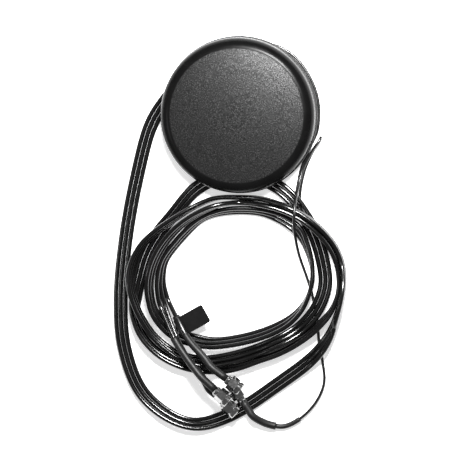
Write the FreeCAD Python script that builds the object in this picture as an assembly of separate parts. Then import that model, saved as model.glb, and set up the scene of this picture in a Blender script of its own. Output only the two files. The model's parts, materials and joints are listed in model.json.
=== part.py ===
import FreeCAD, Part
import math
import os

# Adhesive-mount combination antenna: a round low-profile puck with one flat
# triple coaxial lead, one thin coaxial lead and four screw-on coaxial plugs.
# Millimetres, +Z up. The origin is the centre of the adhesive mounting face.

Vector = FreeCAD.Vector

# ---------------------------------------------------------------- driving dimensions
GAP = 0.04                   # air left between pieces that only touch

# puck
PUCK_R = 47.0                # base flange
PUCK_TOP = 21.0
RADOME_R = 46.3              # foot of the radome wall, which leaves a thin ledge on the flange
FACE_R = 39.5                # textured top face
WALL = 2.2
PAD_R = 31.0
PAD_T = 3.0
LAND_T = 0.6                 # raised land of the base that carries the pad
FLOOR_T = 2.5                # base floor
BASE_Z = PAD_T + LAND_T      # underside of the base rim
FLOOR_Z = BASE_Z + FLOOR_T   # inside face of the base floor
SCREW_CIRCLE_R = 38.0
SCREW_ANGLES = (10, 100, 190, 280)
SCREW_R = 1.25
COUNTERBORE_R = 2.5
COUNTERBORE_DEPTH = 1.3
BOSS_R = 2.9
STANDOFF_CIRCLE_R = 30.0
STANDOFF_ANGLES = (60, 180, 300)
STANDOFF_R = 2.5
PLATE_R = 37.0
PLATE_T = 0.8
PLATE_Z = 11.8
BOARD_SIDE = 34.0
BOARD_T = 1.0
CAN_SIDE = 20.0
CAN_H = 3.0
PATCH_SIDE = 25.0
PATCH_T = 4.0
ELECTRODE_SIDE = 20.0
ELECTRODE_T = 0.1
FEED = (1.8, 0.0)            # off-centre feed of the patch
BOARD_Z = PLATE_Z + PLATE_T + GAP
PATCH_Z = BOARD_Z + BOARD_T + GAP
ELECTRODE_Z = PATCH_Z + PATCH_T + GAP / 2
SEAL_R = 45.25               # seal between base and radome wall
SEAL_HALF = 0.6
SEAL_DEPTH = 0.8
SLOT_LIMIT_R = SEAL_R - SEAL_HALF - 0.3   # openings in the base stay inside the seal
CLAMP_Z = 8.4                # top of the two clamp posts
CLAMP_T = 2.2
CLAMP_POST_R = 1.9
CLAMP_SPAN = 13.0
RIBBON_SLOT = (13.2, 9.4)    # opening in the base for the flat lead
SLOT_PLACE = (8.1, 0.55)     # its centre: along and outward from the last point inside
THIN_SLOT = (11.4, 3.6)      # opening for the thin lead

# leads
CORE_R = 1.4                 # one coaxial core of the flat lead
CORE_PITCH = 2.94
THIN_R = 0.9                 # thin coaxial lead
LAY_GAP = 0.16               # air between turns that lie on each other
SLEEVE_R = 2.3               # heat-shrink sleeve
SLEEVE_THIN_R = 1.5          # its smaller step on the thin lead
SLEEVE_START = 0.9           # bare ferrule between the plug body and the sleeve
SLEEVE_FIT = 0.11
LABEL_FIT = 0.05

# screw-on plug, measured along its axis from the mouth of the nut
NUT_FLATS = 8.0
NUT_LENGTH = 8.4
COLLAR_R = 4.15
COLLAR_LENGTH = 2.6
GROOVE_R = 3.5
GROOVE_LENGTH = 0.7
THREAD_MAJOR_R = 3.2
THREAD_MINOR_R = 2.85
THREAD_PITCH = 0.7056
THREAD_LENGTH = 3.9
CAVITY_R = 3.225
NUT_WALL = 1.5
NECK_R = 2.54
NUT_BORE_R = 2.6
FLANGE_R = 3.05
BODY_FRONT = 2.9
BODY_END = 10.7
INSULATOR_FRONT = 3.0
TUBE_R = 2.3
TUBE_BORE_R = 2.07
PIN_R = 0.46
PIN_ROOT_R = 0.635           # thicker part held in the insulator
PIN_TIP = 0.8
FERRULE_R = 1.95
FERRULE_LENGTH = 6.1
FLANGE_FRONT = 4.6
FLANGE_BACK = 6.0
RING_FRONT = 6.15            # groove of the snap ring
RING_BACK = 6.70
RING_R = 2.95
BODY_STEP = 8.25             # back of the insulator
COLLAR_BODY_R = 3.0          # rear collar of the body
CONDUCTOR_R = 0.45

# label on lead a
FLAG_NEAR = (-34.6, -127.3)
FLAG_WIDTH = 11.6
FLAG_REACH = 17.4
FLAG_T = 0.36
FLAG_CORNER_R = 1.4
WRAP_R = 2.75

# ---------------------------------------------------------------- how the leads lie
# The flat lead leaves the puck, runs down the left side, turns back under the plugs and
# climbs into a coil of four turns. Each point is x, y and the bank of the flat lead in degrees;
# a negative bank stands the lead on its inner edge.
LEAD_EXIT = ((-8.0, 25.4, 0), (-18.6, 27.2, 0), (-27.8, 25.4, 0), (-36.2, 17.6, 0))
LEAD_RUN = ((-44.8, 8.0, 0), (-53.6, -6.0, 0), (-62.4, -38.0, 0), (-69.4, -76.0, 0),
            (-72.6, -112.0, 0), (-70.5, -141.0, 0), (-59.5, -168.5, -10), (-33.5, -186.2, -35),
            (-6.0, -181.2, 0), (24.8, -160.8, 0), (46.5, -143.0, -30), (58.4, -121.2, -75))
COIL_CENTRE = (-1.2, -99.6)
# Each turn: its layer in the pile, then angle (counter-clockwise from +X), radius and bank.
COIL_TURNS = (
    (4, ((0, 64.4, -90), (15, 63.5, -90), (30, 60.5, -90), (45, 56.9, -90), (60, 53.5, -90),
         (75, 51.2, -90), (90, 50.1, -90), (105, 51.2, -85), (120, 51.2, -80), (135, 52.6, -75),
         (148, 56.2, -70), (160, 61.0, -72), (172, 64.0, -75), (183, 64.4, -78), (210, 61.8, -78),
         (225, 59.3, -75), (240, 55.8, -50), (255, 50.6, -25), (270, 46.0, -25), (285, 43.6, -30),
         (300, 43.4, -30), (315, 45.5, -30), (330, 48.4, -20), (345, 51.2, -5))),
    (1, ((0, 52.8, 0), (30, 54.0, 0), (45, 56.3, 0), (60, 60.2, 0), (75, 62.5, 0),
         (90, 63.8, 0), (103, 62.8, 0), (112, 60.9, 0), (122, 58.2, -20), (135, 55.2, -25),
         (150, 55.6, -15), (165, 57.6, -10), (180, 59.8, -20), (190, 62.8, -40), (200, 66.0, -65),
         (210, 67.2, -72), (222, 65.6, -70), (235, 61.8, -60), (255, 54.8, -25), (270, 51.2, -45),
         (285, 48.7, -60), (300, 49.3, -60), (315, 51.3, -60), (330, 55.0, -65), (345, 59.6, -80))),
    (3, ((0, 61.3, -90), (15, 60.4, -90), (30, 57.4, -90), (45, 53.8, -90), (60, 50.4, -90),
         (75, 48.0, -90), (90, 47.0, -90), (105, 46.9, -80), (120, 46.7, -75), (135, 47.3, -70),
         (150, 48.6, -65), (165, 50.6, -65), (180, 52.5, -65), (195, 54.0, -70), (210, 52.6, -45),
         (225, 48.6, -20), (240, 43.4, -30), (255, 39.2, -45), (270, 36.2, -45), (285, 35.2, -45),
         (300, 35.8, -45), (315, 37.8, -50), (330, 40.6, -65), (345, 43.2, -80))),
    (2, ((0, 45.2, -90), (15, 46.0, -75), (30, 46.9, -60), (45, 47.3, -30), (60, 45.1, -45),
         (75, 43.4, -60), (90, 42.3, -60), (105, 42.4, -65), (120, 42.8, -75), (135, 42.3, -65),
         (150, 43.2, -65), (165, 46.0, -65), (180, 46.8, -55), (192, 46.8, -35))),
)
LEAD_SPLIT = (-45.2, -116.0, -10)
THIN_MARGIN = 0.15           # extra air round the thin lead where leads cross
OVER_MARGIN = 0.5            # extra air under the thin lead where it lies on the coil
OWN_TURN = 40                # samples of the lead on either side that do not count as below it
EXIT_RISE = 7.0              # climb of a lead from under the rim into the puck
EXIT_LEVEL = 20.0            # length of lead that stays at the inner height
EXIT_SLOPE = 15.0            # length of lead that climbs

# The thin lead, as x, y, z: out of the puck and along its rim, folded once under the coil,
# and back up to the rim, where it bends over itself.
THIN_FIRST = ((-3.0, 31.0, 8.4), (3.5, 34.2, 8.2), (10.5, 38.6, 4.6), (18.5, 41.6, 1.2),
              (31.2, 35.9, 0.95), (41.1, 23.7, 0.95), (46.5, 9.9, 0.95), (47.2, -2.5, 0.95),
              (46.2, -10.0, 0.95), (42.8, -17.6, 0.95), (36.9, -32.0, 0.95), (33.9, -46.0, 0.95),
              (32.4, -56.0, 0.95), (31.4, -62.5, 0.95), (32.0, -67.0, 0.95), (34.9, -69.5, 0.95),
              (37.9, -67.0, 0.95), (38.0, -62.5, 0.95),
              (36.7, -56.0, 0.95), (36.2, -46.0, 0.95), (39.2, -32.0, 0.95), (44.6, -20.0, 0.95),
              (47.6, -15.6, 1.0), (48.6, -13.4, 2.9), (47.2, -16.2, 4.9), (43.8, -21.0, 3.4),
              (38.1, -32.0, 2.75))
# Over the top of the coil and down into its middle.
THIN_OVER = ((38.1, -32.0, 2.75), (34.9, -46.5, 2.75), (34.2, -57.0, 2.75), (33.9, -70.0, 2.75),
             (35.8, -84.0, 0.95), (39.4, -95.0, 0.95))
# Under the right side of the coil and round to its plug.
THIN_UNDER = ((39.4, -95.0, 0.95), (42.4, -104.0, 0.95), (45.2, -115.0, 0.95), (46.8, -127.0, 0.95),
              (48.0, -139.0, 0.95), (50.0, -149.0, 0.95), (50.7, -161.0, 1.1),
              (46.3, -172.0, 1.65), (37.0, -182.2, 1.85), (27.2, -187.4, 1.75),
              (19.8, -187.0, 2.4), (13.4, -184.6, 4.0))

# Mouth of each plug, the direction its mouth faces as heading and tilt in degrees, and the
# angle its nut is turned from having a flat on top.
PLUGS = {
    "a": {"mouth": (2.1, -164.2, 14.8), "heading": -37.0, "tilt": 0.0, "turn": -15.0, "core_r": CORE_R},
    "b": {"mouth": (-5.0, -171.4, 17.0), "heading": -42.0, "tilt": 0.0, "turn": -14.0, "core_r": CORE_R},
    "c": {"mouth": (-1.5, -179.4, 8.2), "heading": -42.0, "tilt": -4.0, "turn": 5.0, "core_r": CORE_R},
    "d": {"mouth": (-4.1, -163.3, 4.9), "heading": 124.8, "tilt": -3.0, "turn": 20.0, "core_r": THIN_R},
}
# Where each core of the flat lead goes after the split, ahead of its plug.
TAILS = {
    "a": ((-34.6, -127.3, 9.6), (-30.6, -134.2, 10.8), (-20.8, -144.8, 12.8)),
    "b": ((-38.8, -134.0, 10.9), (-30.0, -146.4, 14.4)),
    "c": ((-37.8, -133.4, 6.9), (-30.0, -146.8, 9.6), (-21.9, -157.4, 9.6)),
}
TAIL_STRAIGHT = 18.0         # straight lead behind the mouth of a plug
# How far each sleeve reaches from its plug, and its outside radius there.
SLEEVES = {
    "a": ((50.5, SLEEVE_R),),
    "b": ((41.0, SLEEVE_R),),
    "c": ((26.0, SLEEVE_R),),
    "d": ((27.5, SLEEVE_R), (43.0, SLEEVE_THIN_R)),
}

# ---------------------------------------------------------------- plain geometry helpers
def node(name, shape):
    """Write one piece, or one group of like pieces, as its own STEP file."""
    shape.exportStep(f"parts/{name}.step")


def ring(outer_r, inner_r, z0, z1):
    """An upright ring between two heights."""
    outer = Part.makeCylinder(outer_r, z1 - z0, Vector(0, 0, z0))
    return outer.cut(Part.makeCylinder(inner_r, z1 - z0, Vector(0, 0, z0)))


def disc(radius, z0, z1, x=0.0, y=0.0):
    return Part.makeCylinder(radius, z1 - z0, Vector(x, y, z0))


def block(size_x, size_y, z0, z1, x=0.0, y=0.0):
    """A box centred on x, y between two heights."""
    return Part.makeBox(size_x, size_y, z1 - z0, Vector(x - size_x / 2, y - size_y / 2, z0))


def on_circle(radius, degrees):
    angle = math.radians(degrees)
    return radius * math.cos(angle), radius * math.sin(angle)


def turned(profile):
    """A solid of revolution about Z from (r, z) corners."""
    corners = [Vector(r, 0, z) for r, z in profile]
    face = Part.Face(Part.makePolygon(corners + corners[:1]))
    return face.revolve(Vector(0, 0, 0), Vector(0, 0, 1), 360)


def group(shapes):
    return Part.makeCompound(shapes)


# ---------------------------------------------------------------- lead geometry
def curve_through(points, step=1.0):
    """Points about one step apart on a smooth curve through the given points."""
    size = len(points[0])
    before = [2 * points[0][i] - points[1][i] for i in range(size)]
    after = [2 * points[-1][i] - points[-2][i] for i in range(size)]
    padded = [before] + [list(p) for p in points] + [after]
    result = []
    for k in range(1, len(padded) - 2):
        a, b, c, d = padded[k - 1:k + 3]
        d0, d1, d2 = (math.dist(u, v) ** 0.5 for u, v in ((a, b), (b, c), (c, d)))
        count = max(2, round(math.dist(b, c) / step))
        for j in range(count):
            t = j / count
            row = []
            for i in range(size):
                m1 = ((b[i] - a[i]) / d0 - (c[i] - a[i]) / (d0 + d1) + (c[i] - b[i]) / d1) * d1
                m2 = ((c[i] - b[i]) / d1 - (d[i] - b[i]) / (d1 + d2) + (d[i] - c[i]) / d2) * d1
                row.append((2 * t**3 - 3 * t**2 + 1) * b[i] + (t**3 - 2 * t**2 + t) * m1
                           + (3 * t**2 - 2 * t**3) * c[i] + (t**3 - t**2) * m2)
            result.append(row)
    result.append(padded[-2])
    return result


def averaged(values, half):
    """Moving average over a window that shrinks at both ends."""
    result = []
    for i in range(len(values)):
        reach = min(half, i, len(values) - 1 - i)
        window = values[i - reach:i + reach + 1]
        result.append(sum(window) / len(window))
    return result


def raised(values, half):
    """Moving maximum, so that a later average never falls below the values."""
    return [max(values[max(0, i - half):i + half + 1]) for i in range(len(values))]


def smoothstep(t):
    t = min(1.0, max(0.0, t))
    return t * t * (3 - 2 * t)


class Heap:
    """What already lies on the floor, so that the next length of lead can rest on it."""

    CELL = 4.0

    def __init__(self):
        self.cells = {}

    def cell(self, x, y):
        return int(x // self.CELL), int(y // self.CELL)

    def add(self, x, y, radius, key):
        self.cells.setdefault(self.cell(x, y), []).append((x, y, radius, key))

    def lifts(self, x, y, radius):
        """For each neighbour in plan, its key and the height needed above its axis."""
        cx, cy = self.cell(x, y)
        found = []
        for gx in (cx - 1, cx, cx + 1):
            for gy in (cy - 1, cy, cy + 1):
                for ox, oy, other_r, key in self.cells.get((gx, gy), ()):
                    room = (radius + other_r + LAY_GAP) ** 2 - (x - ox) ** 2 - (y - oy) ** 2
                    if room > 0:
                        found.append((key, math.sqrt(room)))
        return found


def flat_lead_plan():
    """x, y, bank and layer of the middle core, from inside the puck to the split."""
    first_layer = COIL_TURNS[0][0]
    points = [(*point, first_layer) for point in LEAD_EXIT + LEAD_RUN]
    for layer, turn in COIL_TURNS:
        for angle, radius, bank in turn:
            x, y = on_circle(radius, angle)
            points.append((COIL_CENTRE[0] + x, COIL_CENTRE[1] + y, bank, layer))
    points.append((*LEAD_SPLIT, layer))
    dense = curve_through(points)
    smoothed = [averaged([p[i] for p in dense], half) for i, half in ((0, 4), (1, 4), (2, 8))]
    return list(zip(*smoothed, [round(p[3]) for p in dense]))


def core_offsets(plan):
    """For each sample, the plan position and relative height of the three cores."""
    rows = []
    for i in range(len(plan)):
        (x0, y0), (x1, y1) = plan[max(0, i - 1)][:2], plan[min(len(plan) - 1, i + 1)][:2]
        length = math.hypot(x1 - x0, y1 - y0)
        side = (-(y1 - y0) / length, (x1 - x0) / length)
        x, y, bank, _ = plan[i]
        flat = CORE_PITCH * math.cos(math.radians(bank))
        lift = CORE_PITCH * math.sin(math.radians(bank))
        rows.append([(x + s * flat * side[0], y + s * flat * side[1], s * lift) for s in (-1, 0, 1)])
    return rows


def settle_flat_lead(first_lead):
    """Centre lines of the three cores, each length resting on what lies below it."""
    plan = flat_lead_plan()
    rows = core_offsets(plan)
    layers = [layer for _, _, _, layer in plan]
    heap = Heap()
    for x, y, z in first_lead:
        heap.add(x, y, THIN_R + THIN_MARGIN, ("thin", max(z, THIN_R + LAY_GAP)))
    for i, row in enumerate(rows):
        for x, y, rise in row:
            heap.add(x, y, CORE_R, (i, rise))
    rests = []
    for i, row in enumerate(rows):
        for x, y, rise in row:
            for (who, value), lift in heap.lifts(x, y, CORE_R):
                if who == "thin" or (layers[who] < layers[i] and abs(who - i) > OWN_TURN):
                    rests.append((i, (who, value), lift - rise))
    floor = [CORE_R + LAY_GAP / 2 - min(rise for _, _, rise in row) for row in rows]
    heights = floor
    for _ in range(7):
        need = list(floor)
        for i, (who, value), lift in rests:
            base = value if who == "thin" else heights[who] + value
            need[i] = max(need[i], base + lift)
        heights = averaged(raised(need, 7), 7)
    travel = 0.0
    for i in range(len(rows)):
        if i:
            travel += math.dist(plan[i][:2], plan[i - 1][:2])
        heights[i] += EXIT_RISE * (1 - smoothstep((travel - EXIT_LEVEL) / EXIT_SLOPE))
    return [squared_up(plan, [row[s] for row in rows], heights) for s in (0, 1, 2)]


def squared_up(plan, core, heights):
    """One core with its rise set square to the slope of the lead, so the cores keep their pitch."""
    points = []
    for i, (x, y, rise) in enumerate(core):
        before, after = max(0, i - 1), min(len(plan) - 1, i + 1)
        (x0, y0), (x1, y1) = plan[before][:2], plan[after][:2]
        run = math.hypot(x1 - x0, y1 - y0)
        slope = math.atan2(heights[after] - heights[before], run)
        back = rise * math.sin(slope) / run
        points.append((x - back * (x1 - x0), y - back * (y1 - y0), heights[i] + rise * math.cos(slope)))
    return points


def settle_thin_over(stretch, cores):
    """Raise the stretch of the thin lead that lies over the coil onto the turns below it."""
    heap = Heap()
    for core in cores:
        for x, y, z in core:
            heap.add(x, y, CORE_R, z)
    need = []
    for x, y, z in stretch:
        rests = [base + lift + OVER_MARGIN for base, lift in heap.lifts(x, y, THIN_R)]
        need.append(max([z] + rests))
    return [(x, y, z) for (x, y, _), z in zip(stretch, averaged(raised(need, 6), 6))]


def plug_axis(plug):
    """Unit vector out of the mouth of a plug."""
    heading = math.radians(plug["heading"])
    tilt = math.radians(plug["tilt"])
    return Vector(math.cos(heading) * math.cos(tilt), math.sin(heading) * math.cos(tilt), math.sin(tilt))


def behind_mouth(plug, distance):
    return Vector(*plug["mouth"]) - plug_axis(plug) * distance


def lead_end(plug):
    """The straight last length of a lead, up to the end of the plug body."""
    return [tuple(behind_mouth(plug, d)) for d in (TAIL_STRAIGHT + 3.5, TAIL_STRAIGHT, BODY_END + GAP)]


def spaced(points, most_length=10.0, most_turn=14.0):
    """The points needed to follow a dense path with arcs: close together only in tight bends."""
    kept = [0]
    length = 0.0
    turn = 0.0
    for i in range(1, len(points) - 1):
        before = points[i] - points[i - 1]
        after = points[i + 1] - points[i]
        length += before.Length
        turn += math.degrees(before.getAngle(after))
        bend = math.degrees(before.getAngle(after))
        straightens = (turn > 0.5 and bend < 0.01) or (turn > 4.0 and bend < 0.6)
        if length >= most_length or turn >= most_turn or straightens:
            kept.append(i)
            length = 0.0
            turn = 0.0
    if len(kept) > 1 and (points[-1] - points[kept[-1]]).Length < 2.0:
        kept.pop()
    kept.append(len(points) - 1)
    return kept


def arc_from(start, direction, end):
    """The arc that leaves start along a direction and ends at end."""
    chord = end - start
    normal = direction.cross(chord)
    if normal.Length < 1e-4 * chord.Length:
        return Part.LineSegment(start, end).toShape()
    normal.normalize()
    inward = normal.cross(direction)
    radius = chord.dot(chord) / (2 * chord.dot(inward))
    centre = start + inward * radius
    middle = (start + end) * 0.5 - centre
    middle.normalize()
    return Part.Arc(start, centre + middle * radius, end).toShape()


def path_wire(path, first, last):
    """A tangent chain of arcs along a dense path, between two of its samples."""
    points = [Vector(*p) for p in path]
    kept = [first + i for i in spaced(points[first:last + 1])]
    tangents = []
    for i in kept:
        tangent = points[min(len(points) - 1, i + 1)] - points[max(0, i - 1)]
        tangent.normalize()
        tangents.append(tangent)
    edges = []
    for k in range(len(kept) - 1):
        start, end = points[kept[k]], points[kept[k + 1]]
        t0, t1 = tangents[k], tangents[k + 1]
        chord = end - start
        a = 2 * (1 - t0.dot(t1))
        b = 2 * chord.dot(t0 + t1)
        c = chord.dot(chord)
        reach = c / b if a < 1e-9 else (math.sqrt(b * b + 4 * a * c) - b) / (2 * a)
        joint = (start + end + (t0 - t1) * reach) * 0.5
        edges.append(arc_from(start, t0, joint))
        edges.append(arc_from(joint, joint_direction(start, t0, joint), end))
    return Part.Wire(edges), points[first], tangents[0]


def joint_direction(start, direction, end):
    """Direction in which the arc from start arrives at end."""
    chord = end - start
    chord.normalize()
    arrival = chord * (2 * direction.dot(chord)) - direction
    arrival.normalize()
    return arrival


def tube(path, radius, span=None):
    """A round solid along a path, or along the span between two of its samples."""
    first, last = span or (0, len(path) - 1)
    wire, start, direction = path_wire(path, first, last)
    profile = Part.Wire([Part.makeCircle(radius, start, direction)])
    return wire.makePipeShell([profile], True, False)


# ---------------------------------------------------------------- the puck
def make_radome():
    """Moulded upper shell: crowned face, round shoulder, wall and four screw bosses."""
    foot_z = FLOOR_Z + GAP
    crown = PUCK_TOP - 1.2
    shoulder = Vector(44.7, 0, crown - 2.3)
    wall_top = Vector(RADOME_R - 0.2, 0, crown - 7.5)
    outer = [
        Part.Arc(Vector(0, 0, PUCK_TOP), Vector(FACE_R / 2, 0, PUCK_TOP - 0.3), Vector(FACE_R, 0, crown)),
        Part.Arc(Vector(FACE_R, 0, crown), shoulder, wall_top),
        Part.LineSegment(wall_top, Vector(RADOME_R, 0, foot_z)),
    ]
    inner_foot = Vector(RADOME_R - WALL, 0, foot_z)
    inner_wall = Vector(RADOME_R - WALL - 0.1, 0, crown - 7.5)
    inner_face = Vector(FACE_R - 0.6, 0, crown - WALL)
    inner = [
        Part.LineSegment(Vector(RADOME_R, 0, foot_z), inner_foot),
        Part.LineSegment(inner_foot, inner_wall),
        Part.Arc(inner_wall, Vector(43.0, 0, crown - WALL - 1.6), inner_face),
        Part.LineSegment(inner_face, Vector(0, 0, PUCK_TOP - WALL - 0.4)),
        Part.LineSegment(Vector(0, 0, PUCK_TOP - WALL - 0.4), Vector(0, 0, PUCK_TOP)),
    ]
    face = Part.Face(Part.Wire([curve.toShape() for curve in outer + inner]))
    shell = face.revolve(Vector(0, 0, 0), Vector(0, 0, 1), 360)
    for angle in SCREW_ANGLES:
        x, y = on_circle(SCREW_CIRCLE_R, angle)
        shell = shell.fuse(disc(BOSS_R, FLOOR_Z + GAP, PUCK_TOP - WALL, x, y))
        shell = shell.cut(disc(SCREW_R + GAP, FLOOR_Z, FLOOR_Z + 8.2, x, y))
    return shell.removeSplitter()


def lead_slot(grow):
    """The sloping opening in the base through which the flat lead leaves."""
    (x0, y0, _), (x1, y1, _) = LEAD_EXIT[2], LEAD_RUN[0]
    along, outward = SLOT_PLACE
    length, width = RIBBON_SLOT[0] + 2 * grow, RIBBON_SLOT[1] + 2 * grow
    slot = block(length, width, BASE_Z - 1, FLOOR_Z + 1, along, -outward)
    slot.rotate(Vector(0, 0, 0), Vector(0, 0, 1), math.degrees(math.atan2(y1 - y0, x1 - x0)))
    slot.translate(Vector(x0, y0, 0))
    return slot.common(disc(SLOT_LIMIT_R, BASE_Z - 1, FLOOR_Z + 1))


def thin_slot(grow):
    """The opening in the base for the thin lead."""
    (x0, y0, _), (x1, y1, _) = THIN_FIRST[1], THIN_FIRST[3]
    slot = block(THIN_SLOT[0] + 2 * grow, THIN_SLOT[1] + 2 * grow, BASE_Z - 1, FLOOR_Z + 1)
    slot.rotate(Vector(0, 0, 0), Vector(0, 0, 1), math.degrees(math.atan2(y1 - y0, x1 - x0)))
    slot.translate(Vector(THIN_FIRST[2][0], THIN_FIRST[2][1], 0))
    return slot.common(disc(SLOT_LIMIT_R, BASE_Z - 1, FLOOR_Z + 1))


def make_base_plate():
    """Moulded base: flanged disc with pad land, seal groove, standoffs and clamp posts."""
    edge = 0.5
    plate = turned([(0, BASE_Z), (PUCK_R - edge, BASE_Z), (PUCK_R, BASE_Z + edge),
                    (PUCK_R, FLOOR_Z - edge), (PUCK_R - edge, FLOOR_Z), (0, FLOOR_Z)])
    plate = plate.fuse(disc(PAD_R + 0.5, PAD_T, BASE_Z))
    for angle in STANDOFF_ANGLES:
        x, y = on_circle(STANDOFF_CIRCLE_R, angle)
        plate = plate.fuse(disc(STANDOFF_R, FLOOR_Z, PLATE_Z - GAP, x, y))
    for x, y in clamp_posts():
        plate = plate.fuse(disc(CLAMP_POST_R, FLOOR_Z, CLAMP_Z - GAP, x, y))
    plate = plate.cut(ring(SEAL_R + SEAL_HALF, SEAL_R - SEAL_HALF, FLOOR_Z - SEAL_DEPTH, FLOOR_Z))
    for angle in SCREW_ANGLES:
        x, y = on_circle(SCREW_CIRCLE_R, angle)
        plate = plate.cut(disc(SCREW_R + 0.15, BASE_Z, FLOOR_Z, x, y))
        plate = plate.cut(disc(COUNTERBORE_R, BASE_Z, BASE_Z + COUNTERBORE_DEPTH, x, y))
    for angle in STANDOFF_ANGLES:
        x, y = on_circle(STANDOFF_CIRCLE_R, angle)
        plate = plate.cut(disc(1.0 + GAP, FLOOR_Z + 0.5, PLATE_Z, x, y))
    for x, y in clamp_posts():
        plate = plate.cut(disc(0.8 + GAP, FLOOR_Z + 0.3, CLAMP_Z, x, y))
    return plate.cut(lead_slot(0)).cut(thin_slot(0)).removeSplitter()


def clamp_posts():
    """Plan positions of the posts on either side of the flat lead inside the puck."""
    (x0, y0, _), (x1, y1, _) = LEAD_EXIT[0], LEAD_EXIT[1]
    middle = ((x0 + x1) / 2, (y0 + y1) / 2 + 0.25)
    length = math.dist((x0, y0), (x1, y1))
    side = (-(y1 - y0) / length, (x1 - x0) / length)
    half = CLAMP_SPAN / 2
    return [(middle[0] + s * half * side[0], middle[1] + s * half * side[1]) for s in (-1, 1)]


def make_seal_ring():
    foot = FLOOR_Z - SEAL_DEPTH + GAP
    return ring(SEAL_R + SEAL_HALF - GAP, SEAL_R - SEAL_HALF + GAP, foot, FLOOR_Z + GAP / 2)


def make_adhesive_pad():
    return disc(PAD_R, 0, PAD_T - GAP)


def screw(x, y, shank_r, length, head_r, head_h, seat_z, up):
    """A pan-head screw with a cross recess; its head bears at seat_z."""
    way = 1 if up else -1
    head_base = seat_z - way * GAP
    head = Part.makeCylinder(head_r, head_h, Vector(x, y, head_base), Vector(0, 0, way * -1))
    shank = Part.makeCylinder(shank_r, length, Vector(x, y, head_base), Vector(0, 0, way))
    body = head.fuse(shank)
    depth = head_h * 0.6
    low = head_base - way * head_h
    for size_x, size_y in ((head_r * 1.2, head_r * 0.3), (head_r * 0.3, head_r * 1.2)):
        z0, z1 = sorted((low - way * 0.1, low + way * depth))
        body = body.cut(block(size_x, size_y, z0, z1, x, y))
    return body


def make_base_screws():
    screws = []
    for angle in SCREW_ANGLES:
        x, y = on_circle(SCREW_CIRCLE_R, angle)
        screws.append(screw(x, y, SCREW_R, 8.6, 2.3, 1.1, BASE_Z + COUNTERBORE_DEPTH, True))
    return group(screws)


def make_plate_screws():
    screws = []
    for angle in STANDOFF_ANGLES:
        x, y = on_circle(STANDOFF_CIRCLE_R, angle)
        screws.append(screw(x, y, 1.0, 4.2, 1.9, 1.0, PLATE_Z + PLATE_T, False))
    return group(screws)


def make_clamp_screws():
    return group([screw(x, y, 0.8, 3.4, 1.6, 0.8, CLAMP_Z + CLAMP_T, False) for x, y in clamp_posts()])


def make_cable_clamp(lead_solids):
    """Saddle bar that holds the three cores down on the base."""
    (x0, y0), (x1, y1) = clamp_posts()
    heading = math.degrees(math.atan2(y1 - y0, x1 - x0))
    length = CLAMP_SPAN + 5.0
    bar = Part.makeBox(length, 5.0, CLAMP_T, Vector(-length / 2, -2.5, CLAMP_Z))
    bar.rotate(Vector(0, 0, 0), Vector(0, 0, 1), heading)
    bar.translate(Vector((x0 + x1) / 2, (y0 + y1) / 2, 0))
    for x, y in clamp_posts():
        bar = bar.cut(disc(0.8 + 0.15, CLAMP_Z, CLAMP_Z + CLAMP_T, x, y))
    for solid in lead_solids:
        bar = bar.cut(solid)
    return biggest_solid(bar)


def biggest_solid(shape):
    return max(shape.Solids, key=lambda solid: solid.Volume)


def make_ribbon_grommet(cutters):
    """Rubber plug around the flat lead in the slot of the base."""
    grommet = lead_slot(-GAP).common(disc(PUCK_R, BASE_Z + GAP, FLOOR_Z - GAP))
    for cutter in cutters:
        grommet = grommet.cut(cutter)
    return grommet


def make_thin_grommet(cutter):
    return thin_slot(-GAP).common(disc(PUCK_R, BASE_Z + GAP, FLOOR_Z - GAP)).cut(cutter)


def make_ground_plate():
    """Pressed steel reflector with a window for the shield can and screw holes."""
    plate = disc(PLATE_R, PLATE_Z, PLATE_Z + PLATE_T)
    plate = plate.cut(block(CAN_SIDE + 2.4, CAN_SIDE + 2.4, PLATE_Z, PLATE_Z + PLATE_T))
    for angle in STANDOFF_ANGLES:
        x, y = on_circle(STANDOFF_CIRCLE_R, angle)
        plate = plate.cut(disc(1.15, PLATE_Z, PLATE_Z + PLATE_T, x, y))
    for angle in SCREW_ANGLES:
        x, y = on_circle(SCREW_CIRCLE_R, angle)
        plate = plate.cut(disc(BOSS_R + 0.5, PLATE_Z, PLATE_Z + PLATE_T, x, y))
    return plate


def make_lna_board():
    board = block(BOARD_SIDE, BOARD_SIDE, BOARD_Z, BOARD_Z + BOARD_T)
    return board.cut(disc(0.6, BOARD_Z, BOARD_Z + BOARD_T, *FEED))


def make_shield_can():
    """Tin-plated can soldered under the board, open towards it."""
    top = BOARD_Z - GAP
    can = block(CAN_SIDE, CAN_SIDE, top - CAN_H, top)
    return can.cut(block(CAN_SIDE - 0.5, CAN_SIDE - 0.5, top - CAN_H + 0.25, top))


def make_board_components():
    """Amplifier, filters and small passives inside the can."""
    top = BOARD_Z - GAP
    places = ((3.0, 3.0, 0.9, -5.0, 4.0), (1.8, 1.4, 0.7, 5.5, 5.0), (1.8, 1.4, 0.7, 5.5, -4.5),
              (1.6, 0.8, 0.8, -5.0, -4.5), (1.0, 0.5, 0.5, -1.5, 6.5), (1.0, 0.5, 0.5, -1.5, -6.5))
    return group([block(sx, sy, top - h, top, x, y) for sx, sy, h, x, y in places])


def make_gnss_patch():
    patch = block(PATCH_SIDE, PATCH_SIDE, PATCH_Z, PATCH_Z + PATCH_T)
    return patch.cut(disc(0.65, PATCH_Z, PATCH_Z + PATCH_T, *FEED))


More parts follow.
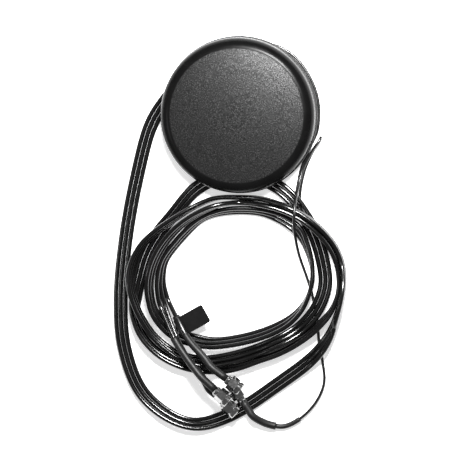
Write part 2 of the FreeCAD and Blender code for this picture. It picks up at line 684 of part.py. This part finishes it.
def make_patch_electrode():
    """Fired silver square with two trimmed corners."""
    z0, z1 = ELECTRODE_Z, ELECTRODE_Z + ELECTRODE_T
    square = block(ELECTRODE_SIDE, ELECTRODE_SIDE, z0, z1)
    half = ELECTRODE_SIDE / 2
    for sign in (-1, 1):
        corner = block(2.4, 2.4, z0, z1)
        corner.rotate(Vector(0, 0, 0), Vector(0, 0, 1), 45)
        corner.translate(Vector(sign * half, sign * half, 0))
        square = square.cut(corner)
    return square.cut(disc(0.65, z0, z1, *FEED))


def make_patch_feed_pin():
    top = ELECTRODE_Z + ELECTRODE_T + GAP
    pin = disc(0.5, BOARD_Z - 0.8, top, *FEED)
    return pin.fuse(disc(1.1, top, top + 0.3, *FEED))


def make_cellular_radiator(side):
    """Bent sheet radiator: an upright arc with an inward top flange and a notch in its foot."""
    z0 = PLATE_Z + PLATE_T + GAP
    z1 = 17.2
    wall = ring(34.4, 34.0, z0, z1).fuse(ring(34.4, 30.5, z1 - 0.4, z1))
    angle = 36.0
    spread = 60.0
    x, y = on_circle(spread, angle)
    corners = [Vector(0, 0, z0), Vector(side * x, -y, z0), Vector(side * spread, 0, z0),
               Vector(side * x, y, z0), Vector(0, 0, z0)]
    sector = Part.Face(Part.makePolygon(corners)).extrude(Vector(0, 0, z1 - z0))
    radiator = wall.common(sector)
    notch = block(12.0, 9.0, z0, z0 + 2.0, side * 34.0, 0)
    return radiator.cut(notch)


def make_wifi_radiator():
    """Small upright printed board."""
    z0 = PLATE_Z + PLATE_T + GAP
    return block(14.0, 0.8, z0, z0 + 4.8, 0, -26.0)


# ---------------------------------------------------------------- the plugs
def plug_frame(shape, plug):
    """Move a shape drawn along -X from the mouth at the origin to its plug's place."""
    placed = shape.copy()
    placed.rotate(Vector(0, 0, 0), Vector(0, -1, 0), plug["tilt"])
    placed.rotate(Vector(0, 0, 0), Vector(0, 0, 1), plug["heading"])
    placed.translate(Vector(*plug["mouth"]))
    return placed


def round_bar(profile):
    """A solid of revolution about X from (x, r) corners."""
    corners = [Vector(x, 0, r) for x, r in profile]
    face = Part.Face(Part.makePolygon(corners + corners[:1]))
    return face.revolve(Vector(0, 0, 0), Vector(1, 0, 0), 360)


def make_coupling_nut(turn):
    """Hexagon nut with a plain front collar and internal thread."""
    chamfer = 0.35
    collar_back = -COLLAR_LENGTH
    hex_front = collar_back - GROOVE_LENGTH
    corner_r = NUT_FLATS / 2 / math.cos(math.radians(30))
    corners = []
    for k in range(7):
        angle = math.radians(60 * k + turn)
        corners.append(Vector(hex_front, corner_r * math.cos(angle), corner_r * math.sin(angle)))
    hexagon = Part.Face(Part.makePolygon(corners)).extrude(Vector(hex_front * -1 - NUT_LENGTH, 0, 0))
    bevel = round_bar([(-NUT_LENGTH, 0), (-NUT_LENGTH, corner_r - chamfer), (-NUT_LENGTH + chamfer, corner_r),
                       (hex_front - chamfer, corner_r), (hex_front, corner_r - chamfer), (hex_front, 0)])
    front = round_bar([(hex_front - GAP, 0), (hex_front - GAP, GROOVE_R), (collar_back, GROOVE_R),
                       (collar_back, COLLAR_R - 0.2), (collar_back + 0.2, COLLAR_R),
                       (-chamfer, COLLAR_R), (0, COLLAR_R - chamfer), (0, 0)])
    nut = hexagon.common(bevel).fuse(front)
    bore = [(0.1, 0), (0.1, THREAD_MAJOR_R + 0.3), (0, THREAD_MAJOR_R + 0.3), (-0.35, THREAD_MINOR_R)]
    x = -0.35 - 0.1
    while x - THREAD_PITCH > -THREAD_LENGTH:
        bore += [(x, THREAD_MINOR_R), (x - THREAD_PITCH * 0.4, THREAD_MAJOR_R),
                 (x - THREAD_PITCH * 0.5, THREAD_MAJOR_R), (x - THREAD_PITCH * 0.9, THREAD_MINOR_R)]
        x -= THREAD_PITCH
    cavity_back = -NUT_LENGTH + NUT_WALL
    bore += [(-THREAD_LENGTH, THREAD_MINOR_R), (-THREAD_LENGTH, CAVITY_R), (cavity_back, CAVITY_R),
             (cavity_back, NUT_BORE_R), (-NUT_LENGTH - 0.1, NUT_BORE_R), (-NUT_LENGTH - 0.1, 0)]
    return nut.cut(round_bar(bore)).removeSplitter()


def make_plug_body():
    """Nickel-plated body: mating tube, retained flange, neck and rear collar."""
    neck_groove_r = NECK_R - 0.3
    body = round_bar([(-BODY_FRONT, 0), (-BODY_FRONT, TUBE_R - 0.1), (-BODY_FRONT - 0.1, TUBE_R),
                      (-FLANGE_FRONT, TUBE_R), (-FLANGE_FRONT, FLANGE_R), (-FLANGE_BACK, FLANGE_R),
                      (-FLANGE_BACK, NECK_R), (-RING_FRONT, NECK_R), (-RING_FRONT, neck_groove_r),
                      (-RING_BACK, neck_groove_r), (-RING_BACK, NECK_R), (-NUT_LENGTH - 0.12, NECK_R),
                      (-NUT_LENGTH - 0.12, 2.8), (-NUT_LENGTH - 0.42, COLLAR_BODY_R),
                      (-BODY_END + 0.5, COLLAR_BODY_R),
                      (-BODY_END, 2.5), (-BODY_END, 0)])
    bore = round_bar([(-BODY_FRONT + 0.1, 0), (-BODY_FRONT + 0.1, TUBE_BORE_R), (-BODY_STEP, TUBE_BORE_R),
                      (-BODY_STEP, 0.8), (-BODY_END - 0.1, 0.8), (-BODY_END - 0.1, 0)])
    return body.cut(bore)


def make_insulator():
    """Tube that holds the centre contact in the body."""
    front, back = -INSULATOR_FRONT, -BODY_STEP + GAP
    inner, outer = PIN_ROOT_R + GAP, TUBE_BORE_R - GAP
    return round_bar([(front, inner), (front, outer), (back, outer), (back, inner)])


def make_centre_pin():
    """Centre contact with a blunt cone tip and the lead's conductor soldered in its back."""
    cone, step = -PIN_TIP - 0.35, -INSULATOR_FRONT - 0.02
    root, back = -BODY_STEP - 0.3, -BODY_END + 0.05
    return round_bar([(-PIN_TIP, 0), (-PIN_TIP, 0.2), (cone, PIN_R), (step, PIN_R),
                      (step, PIN_ROOT_R), (root, PIN_ROOT_R), (root, CONDUCTOR_R),
                      (back, CONDUCTOR_R), (back, 0)])


def make_gasket():
    back = -FLANGE_FRONT + GAP
    return round_bar([(back, TUBE_R + GAP), (back, 3.0), (back + 0.6, 3.0), (back + 0.6, TUBE_R + GAP)])


def make_snap_ring():
    """Open spring ring in the groove of the neck."""
    inner = NECK_R - 0.3 + GAP
    front, back = -RING_FRONT - GAP, -RING_BACK + GAP
    whole = round_bar([(front, inner), (front, RING_R), (back, RING_R), (back, inner)])
    slit = Part.makeBox(1.0, 1.2, 4.0, Vector(back - 0.2, -0.6, 0))
    return whole.cut(slit)


def make_ferrule(core_r):
    front = -BODY_END - GAP
    back = front - FERRULE_LENGTH
    inner = core_r + 0.06
    return round_bar([(front, inner), (front, FERRULE_R - 0.1), (front - 0.1, FERRULE_R),
                      (back, FERRULE_R), (back, inner)])


# ---------------------------------------------------------------- sleeves and label
def span_from_end(path, near, far):
    """The samples of a path that lie between two distances from its plug end."""
    travel = 0.0
    last = first = len(path) - 1
    for i in range(len(path) - 2, -1, -1):
        travel += math.dist(path[i], path[i + 1])
        if travel <= near:
            last = i
        if travel <= far:
            first = i
    return first, last


def make_sleeve(path, core_r, steps):
    """Heat-shrink sleeve over the ferrule and the last stretch of a lead. Each step is
    how far it reaches from the plug and its outside radius."""
    ferrule_end = FERRULE_LENGTH + SLEEVE_START
    pieces = [(SLEEVE_START, ferrule_end, SLEEVE_R, FERRULE_R + SLEEVE_FIT)]
    near = ferrule_end
    for far, outer_r in steps:
        pieces.append((near, far, outer_r, core_r + SLEEVE_FIT))
        near = far
    sleeve = None
    for near, far, outer_r, inner_r in pieces:
        span = span_from_end(path, near, far)
        hollow = tube(path, outer_r, span).cut(tube(path, inner_r, span))
        sleeve = hollow if sleeve is None else sleeve.fuse(hollow)
    return sleeve


def make_flag_label(path, sleeve_reach):
    """Blank label wrapped round a sleeve, its two ends stuck together as a flag."""
    middle = min(range(len(path)), key=lambda i: math.dist(path[i][:2], FLAG_NEAR))
    half = FLAG_WIDTH / 2
    centre = path[middle]
    near_wrap = [i for i, p in enumerate(path) if math.dist(p, centre) <= half]
    wrap = tube(path, WRAP_R, (near_wrap[0], near_wrap[-1]))
    along = Vector(*path[near_wrap[-1]]) - Vector(*path[near_wrap[0]])
    along.z = 0
    along.normalize()
    out = Vector(-along.y, along.x, 0)
    near = Vector(*centre)
    corners = [near - along * half, near + along * half,
               near + along * half + out * FLAG_REACH, near - along * half + out * FLAG_REACH]
    base = [Vector(c.x, c.y, near.z - FLAG_T / 2) for c in corners]
    flag = Part.Face(Part.makePolygon(base + base[:1])).extrude(Vector(0, 0, FLAG_T))
    far_edges = []
    for edge in flag.Edges:
        upright = abs(edge.Vertexes[0].Z - edge.Vertexes[-1].Z) > FLAG_T / 2
        if upright and (edge.CenterOfMass - near).dot(out) > FLAG_REACH / 2:
            far_edges.append(edge)
    flag = flag.makeFillet(FLAG_CORNER_R, far_edges)
    under = span_from_end(path, FERRULE_LENGTH + SLEEVE_START, sleeve_reach)
    return wrap.fuse(flag).cut(tube(path, SLEEVE_R + LABEL_FIT, under))


# ---------------------------------------------------------------- paths of the leads
def nearest_index(path, point):
    return min(range(len(path)), key=lambda i: math.dist(path[i], point))


def lead_paths():
    """Centre line of every lead, from inside the puck to its plug."""
    thin_points = THIN_FIRST[:-1] + THIN_OVER + THIN_UNDER[1:] + tuple(lead_end(PLUGS["d"]))
    thin = [tuple(p) for p in curve_through(thin_points)]
    first, last = nearest_index(thin, THIN_OVER[0]), nearest_index(thin, THIN_OVER[-1])
    on_floor = [p for p in thin[:first] + thin[last:] if p[2] < 1.0]
    cores = settle_flat_lead(on_floor)
    thin = thin[:first] + settle_thin_over(thin[first:last], cores) + thin[last:]
    paths = {"d": thin}
    for name, core in (("b", cores[0]), ("c", cores[1]), ("a", cores[2])):
        controls = core[:-5:6] + list(TAILS[name]) + lead_end(PLUGS[name])
        paths[name] = [tuple(p) for p in curve_through(controls)]
    for name, path in paths.items():
        lowest = PLUGS[name]["core_r"] + LAY_GAP * 0.75
        heights = averaged([max(z, lowest) for _, _, z in path], 4)
        paths[name] = [(x, y, z) for (x, y, _), z in zip(path[:-20], heights)] + path[-20:]
    return paths


def main():
    os.makedirs("parts", exist_ok=True)
    paths = lead_paths()
    leads = {name: tube(path, PLUGS[name]["core_r"]) for name, path in paths.items()}
    inside = {name: tube(path, PLUGS[name]["core_r"] + 0.12, (0, 60)) for name, path in paths.items()}
    flat = [inside[name] for name in "abc"]

    node("radome", make_radome())
    node("base_plate", make_base_plate())
    node("seal_ring", make_seal_ring())
    node("adhesive_pad", make_adhesive_pad())
    node("base_screws", make_base_screws())
    node("ground_plate", make_ground_plate())
    node("plate_screws", make_plate_screws())
    node("lna_board", make_lna_board())
    node("lna_shield_can", make_shield_can())
    node("board_components", make_board_components())
    node("gnss_patch", make_gnss_patch())
    node("patch_electrode", make_patch_electrode())
    node("patch_feed_pin", make_patch_feed_pin())
    node("cellular_radiator_left", make_cellular_radiator(-1))
    node("cellular_radiator_right", make_cellular_radiator(1))
    node("wifi_radiator", make_wifi_radiator())
    node("cable_clamp", make_cable_clamp(flat))
    node("clamp_screws", make_clamp_screws())
    node("ribbon_grommet", make_ribbon_grommet(flat))
    node("thin_lead_grommet", make_thin_grommet(inside["d"]))

    node("lead_a", leads["a"])
    node("lead_b", leads["b"])
    node("lead_c", leads["c"])
    node("thin_lead", leads["d"])

    insulators, gaskets, rings, ferrules = [], [], [], []
    for name, plug in PLUGS.items():
        node(f"plug_body_{name}", plug_frame(make_plug_body(), plug))
        node(f"coupling_nut_{name}", plug_frame(make_coupling_nut(plug["turn"]), plug))
        node(f"centre_pin_{name}", plug_frame(make_centre_pin(), plug))
        insulators.append(plug_frame(make_insulator(), plug))
        gaskets.append(plug_frame(make_gasket(), plug))
        rings.append(plug_frame(make_snap_ring(), plug))
        ferrules.append(plug_frame(make_ferrule(plug["core_r"]), plug))
    node("plug_insulators", group(insulators))
    node("plug_gaskets", group(gaskets))
    node("plug_snap_rings", group(rings))
    node("crimp_ferrules", group(ferrules))
    for name, steps in SLEEVES.items():
        sleeve_name = "sleeve_thin_lead" if name == "d" else f"sleeve_{name}"
        node(sleeve_name, make_sleeve(paths[name], PLUGS[name]["core_r"], steps))
    node("flag_label", make_flag_label(paths["a"], SLEEVES["a"][-1][0]))


main()
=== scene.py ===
import bpy
import json
import math
from mathutils import Matrix, Vector

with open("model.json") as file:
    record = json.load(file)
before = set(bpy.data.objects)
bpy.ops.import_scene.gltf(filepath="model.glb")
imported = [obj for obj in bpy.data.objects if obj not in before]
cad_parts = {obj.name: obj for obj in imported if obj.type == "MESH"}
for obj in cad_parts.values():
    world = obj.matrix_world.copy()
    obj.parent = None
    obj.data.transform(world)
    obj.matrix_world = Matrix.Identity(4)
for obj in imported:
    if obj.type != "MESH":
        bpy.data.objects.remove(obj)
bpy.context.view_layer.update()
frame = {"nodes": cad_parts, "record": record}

# Round adhesive-mount satellite-navigation antenna with its coiled leads, seen from above.
# Metres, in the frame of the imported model: origin under the centre of the puck, +Z up.

nodes = frame["nodes"]
MM = 0.001

# ---------------------------------------------------------------- material helpers


class Finish:
    """A material with its node tree, and short ways to add to it."""

    def __init__(self, name):
        self.material = bpy.data.materials.new(name)
        self.material.use_nodes = True
        self.tree = self.material.node_tree
        self.bsdf = self.tree.nodes["Principled BSDF"]
        self.place = self.add("ShaderNodeTexCoord").outputs["Object"]

    def add(self, kind, **settings):
        made = self.tree.nodes.new(kind)
        for key, value in settings.items():
            setattr(made, key, value)
        return made

    def link(self, output, target):
        self.tree.links.new(output, target)

    def set(self, **values):
        """Fixed values for inputs of the surface, named with _ for each space."""
        for key, value in values.items():
            self.bsdf.inputs[key.replace("_", " ")].default_value = value

    def noise(self, scale, detail=2.0, roughness=0.5):
        made = self.add("ShaderNodeTexNoise")
        made.inputs["Scale"].default_value = scale
        made.inputs["Detail"].default_value = detail
        made.inputs["Roughness"].default_value = roughness
        self.link(self.place, made.inputs["Vector"])
        return made.outputs["Fac"]

    def ramp(self, source, stops):
        """A colour ramp through (position, grey or colour) stops."""
        made = self.add("ShaderNodeValToRGB")
        elements = made.color_ramp.elements
        while len(elements) < len(stops):
            elements.new(0.5)
        for element, (position, value) in zip(elements, stops):
            element.position = position
            rgb = value if isinstance(value, tuple) else (value,) * 3
            element.color = (*rgb, 1.0)
        self.link(source, made.inputs["Fac"])
        return made.outputs["Color"]

    def math(self, operation, a, b=None):
        made = self.add("ShaderNodeMath", operation=operation)
        for value, target in ((a, made.inputs[0]), (b, made.inputs[1])):
            if value is None:
                continue
            if isinstance(value, (int, float)):
                target.default_value = value
            else:
                self.link(value, target)
        return made.outputs[0]

    def step(self, source, start, end):
        """0 at start and beyond it, 1 at end, straight in between."""
        made = self.add("ShaderNodeMapRange")
        made.inputs["From Min"].default_value = start
        made.inputs["From Max"].default_value = end
        self.link(source, made.inputs["Value"])
        return made.outputs[0]

    def mix(self, factor, a, b):
        """Blend of two outputs by a factor output."""
        made = self.add("ShaderNodeMix", data_type="RGBA")
        self.link(factor, made.inputs["Factor"])
        self.link(a, made.inputs["A"])
        self.link(b, made.inputs["B"])
        return made.outputs["Result"]

    def bump(self, height, strength, distance):
        made = self.add("ShaderNodeBump")
        made.inputs["Strength"].default_value = strength
        made.inputs["Distance"].default_value = distance
        self.link(height, made.inputs["Height"])
        return made.outputs["Normal"]

    def use(self, colour, roughness, normal=None):
        """Connect the outputs to the surface and hand over the finished material."""
        for source, name in ((colour, "Base Color"), (roughness, "Roughness"), (normal, "Normal")):
            if source is not None:
                self.link(source, self.bsdf.inputs[name])
        return self.material


# ---------------------------------------------------------------- materials
FACE_R = 39.9 * MM           # radius of the textured face on top of the puck
FACE_EDGE = 0.4 * MM         # half the width over which the texture fades out
SHOULDER_LOW = 15.0 * MM     # no texture below this height
SHOULDER_HIGH = 16.0 * MM    # full texture above this height
FACE_GRAIN = 0.02 * MM       # depth of the texture
SCRATCH_SCALE = 2200.0
SCRATCH_DEPTH = 0.002 * MM


def moulded(name, dark, light, rough_low, rough_high, grain, depth_mm, specular=0.5):
    """Plain moulded plastic or rubber: slight mottle, uneven gloss, fine grain."""
    f = Finish(name)
    f.set(Specular_IOR_Level=specular)
    colour = f.ramp(f.noise(90.0, 3.0), [(0.3, dark), (0.7, light)])
    rough = f.ramp(f.noise(350.0, 2.0), [(0.25, rough_low), (0.75, rough_high)])
    normal = f.bump(f.noise(grain, 3.0, 0.6), 0.5, depth_mm * MM)
    return f.use(colour, rough, normal)


def metal(name, dark, light, rough_low, rough_high):
    """Plated metal with faint cloudiness and fine marks."""
    f = Finish(name)
    f.set(Metallic=1.0)
    colour = f.ramp(f.noise(420.0, 3.0), [(0.3, dark), (0.7, light)])
    rough = f.ramp(f.noise(900.0, 3.0), [(0.3, rough_low), (0.7, rough_high)])
    normal = f.bump(f.noise(SCRATCH_SCALE, 2.0), 0.35, SCRATCH_DEPTH)
    return f.use(colour, rough, normal)


def jacket(name, base, rough_low, rough_high):
    """Glossy extruded cable jacket: nearly black, gloss that varies slowly along the lead."""
    f = Finish(name)
    f.set(IOR=1.50)
    colour = f.ramp(f.noise(60.0, 2.0), [(0.3, base * 0.8), (0.7, base * 1.2)])
    rough = f.ramp(f.noise(80.0, 2.0), [(0.3, rough_low), (0.7, rough_high)])
    normal = f.bump(f.noise(160.0, 1.0), 0.1, 0.01 * MM)
    return f.use(colour, rough, normal)


def radome_plastic():
    """Black plastic: spark texture inside the face circle, smooth on the shoulder and wall."""
    f = Finish("radome_plastic")
    parts = f.add("ShaderNodeSeparateXYZ")
    f.link(f.place, parts.inputs[0])
    x, y, z = parts.outputs
    radius = f.math("SQRT", f.math("ADD", f.math("POWER", x, 2.0), f.math("POWER", y, 2.0)))
    inside = f.step(radius, FACE_R + FACE_EDGE, FACE_R - FACE_EDGE)
    face = f.math("MULTIPLY", inside, f.step(z, SHOULDER_LOW, SHOULDER_HIGH))
    coarse = f.noise(1500.0, 2.0, 0.6)
    fine = f.noise(3400.0, 2.0, 0.6)
    pits = f.math("ADD", f.math("MULTIPLY", coarse, 0.65), f.math("MULTIPLY", fine, 0.35))
    face_colour = f.ramp(pits, [(0.36, 0.002), (0.66, 0.008)])
    wall_colour = f.ramp(f.noise(60.0, 2.0), [(0.3, 0.002), (0.7, 0.003)])
    face_rough = f.ramp(coarse, [(0.3, 0.25), (0.7, 0.28)])
    wall_rough = f.ramp(f.noise(240.0, 2.0), [(0.3, 0.24), (0.7, 0.28)])
    speckle = f.ramp(pits, [(0.42, 0.10), (0.62, 0.85)])
    shine = f.math("ADD", f.math("MULTIPLY", face, speckle), 0.07)
    f.link(shine, f.bsdf.inputs["Specular IOR Level"])
    normal = f.bump(f.math("MULTIPLY", pits, face), 1.0, FACE_GRAIN)
    return f.use(f.mix(face, wall_colour, face_colour), f.mix(face, wall_rough, face_rough), normal)


# dark, light, least and most roughness, scale of the grain, its depth in mm, specular level
MOULDED = {
    "base_plastic": (0.003, 0.005, 0.42, 0.52, 1500.0, 0.02),
    "seal_rubber": (0.010, 0.018, 0.6, 0.75, 900.0, 0.03),
    "pad_foam": (0.014, 0.028, 0.8, 0.95, 1300.0, 0.12),
    "board_green": ((0.010, 0.055, 0.022), (0.016, 0.085, 0.034), 0.25, 0.4, 700.0, 0.01),
    "component_black": (0.02, 0.03, 0.4, 0.55, 2500.0, 0.01),
    "patch_ceramic": ((0.52, 0.46, 0.37), (0.60, 0.54, 0.44), 0.55, 0.7, 1800.0, 0.02),
    "nylon_black": (0.012, 0.02, 0.4, 0.5, 900.0, 0.02),
    "ptfe": ((0.70, 0.70, 0.68), (0.80, 0.80, 0.78), 0.35, 0.5, 800.0, 0.01),
    "gasket_silicone": ((0.28, 0.05, 0.03), (0.36, 0.07, 0.045), 0.5, 0.65, 900.0, 0.01),
    "shrink_sleeve": (0.004, 0.006, 0.44, 0.52, 1300.0, 0.01, 0.28),
    "label_film": (0.003, 0.004, 0.24, 0.30, 120.0, 0.01, 0.35),
}

# dark, light, least and most roughness
METALS = {
    "screw_steel": ((0.46, 0.47, 0.48), (0.60, 0.61, 0.62), 0.25, 0.4),
    "tinned_sheet": ((0.55, 0.55, 0.54), (0.68, 0.68, 0.67), 0.28, 0.42),
    "silver_fired": ((0.74, 0.73, 0.70), (0.84, 0.83, 0.80), 0.3, 0.45),
    "spring_bronze": ((0.45, 0.30, 0.15), (0.62, 0.44, 0.24), 0.25, 0.4),
    "nickel": ((0.30, 0.30, 0.30), (0.44, 0.44, 0.44), 0.09, 0.16),
    "gold_plate": ((0.72, 0.52, 0.22), (0.83, 0.62, 0.30), 0.16, 0.3),
}

# grey, least and most roughness
JACKETS = {
    "lead_jacket": (0.002, 0.17, 0.21),
    "thin_lead_jacket": (0.004, 0.24, 0.32),
}

finishes = {"radome_plastic": radome_plastic()}
for make, table in ((moulded, MOULDED), (metal, METALS), (jacket, JACKETS)):
    for finish_name, values in table.items():
        finishes[finish_name] = make(finish_name, *values)

# Leads and sleeves are swept in many short stretches. Welding the seams gives them one
# continuous surface normal, so their highlights run through.
WELD_DISTANCE = 1e-6

slot_of = {row["node"]: row["material_slot"] for row in frame["record"]["subparts"]}
for name, piece in nodes.items():
    piece.data.materials.clear()
    piece.data.materials.append(finishes[slot_of[name]])
    for polygon in piece.data.polygons:
        polygon.use_smooth = True
    if "lead" in name or name.startswith("sleeve_"):
        weld = piece.modifiers.new("weld", "WELD")
        weld.merge_threshold = WELD_DISTANCE

# ---------------------------------------------------------------- stage
FLOOR_SIZE = 6.0
FLOOR_DROP = 0.2 * MM        # keeps the floor clear of the lowest leads
FLOOR_GLOW = 0.64            # the floor gives off part of its own white
WORLD_STRENGTH = 0.18


def make_floor():
    """Plain pale paper under the part."""
    half = FLOOR_SIZE / 2
    corners = [(-half, -half, 0), (half, -half, 0), (half, half, 0), (-half, half, 0)]
    mesh = bpy.data.meshes.new("floor")
    mesh.from_pydata(corners, [], [(0, 1, 2, 3)])
    paper = Finish("paper")
    white = paper.ramp(paper.noise(14.0, 2.0), [(0.3, 0.88), (0.7, 0.90)])
    paper.link(white, paper.bsdf.inputs["Emission Color"])
    paper.set(Emission_Strength=FLOOR_GLOW)
    mesh.materials.append(paper.use(white, paper.ramp(paper.noise(40.0), [(0.3, 0.8), (0.7, 0.9)])))
    floor = bpy.data.objects.new("floor", mesh)
    floor.location.z = -FLOOR_DROP
    bpy.context.scene.collection.objects.link(floor)


def make_world():
    """Even white light from all round."""
    world = bpy.data.worlds.new("studio")
    bpy.context.scene.world = world
    world.use_nodes = True
    background = world.node_tree.nodes["Background"]
    background.inputs["Color"].default_value = (1, 1, 1, 1)
    background.inputs["Strength"].default_value = WORLD_STRENGTH


# ---------------------------------------------------------------- light and camera
AIM = Vector((-6.9 * MM, -69.0 * MM, 0))      # middle of the part as it lies
PUCK_TOP = Vector((0, 0, 21.0 * MM))

# place, width and depth, power in watts, aim
LIGHTS = {
    "key": ((0.07, 0.165, 0.42), (0.12, 0.12), 8.6, PUCK_TOP),
    "upper": ((0.25, 1.05, 1.1), (0.25, 0.12), 2.4, AIM),
    "side": ((-1.0, -0.2, 1.1), (0.12, 0.25), 1.6, AIM),
}


def area_light(name, place, size, power, aim):
    data = bpy.data.lights.new(name, "AREA")
    data.shape = "RECTANGLE"
    data.size, data.size_y = size
    data.energy = power
    light = bpy.data.objects.new(name, data)
    light.location = place
    light.rotation_mode = "QUATERNION"
    light.rotation_quaternion = (aim - Vector(place)).to_track_quat("-Z", "Y")
    bpy.context.scene.collection.objects.link(light)


CAMERA_DISTANCE = 2.0
TILT_NORTH = math.radians(5.0)       # from straight above, towards the puck
TILT_EAST = math.radians(7.5)        # from straight above, to the right
IMAGE_SIDE = 458
GROUND_STEP = 0.6 * MM               # ground covered by one step across the image
SENSOR_WIDTH = 36.0


def make_camera():
    """Camera nearly straight above, with the puck at the top of the view."""
    data = bpy.data.cameras.new("camera")
    data.sensor_width = SENSOR_WIDTH
    data.lens = SENSOR_WIDTH * CAMERA_DISTANCE / (IMAGE_SIDE * GROUND_STEP)
    camera = bpy.data.objects.new("camera", data)
    backward = Vector((math.tan(TILT_EAST), math.tan(TILT_NORTH), 1.0)).normalized()
    upward = (Vector((0, 1, 0)) - backward * backward.y).normalized()
    rightward = upward.cross(backward)
    camera.location = AIM + backward * CAMERA_DISTANCE
    camera.rotation_mode = "XYZ"
    camera.rotation_euler = Matrix((rightward, upward, backward)).transposed().to_euler("XYZ")
    bpy.context.scene.collection.objects.link(camera)
    bpy.context.scene.camera = camera


make_floor()
make_world()
for light_name, light_values in LIGHTS.items():
    area_light(light_name, *light_values)
make_camera()
bpy.context.scene.view_settings.view_transform = "Standard"
bpy.context.scene.view_settings.look = "None"
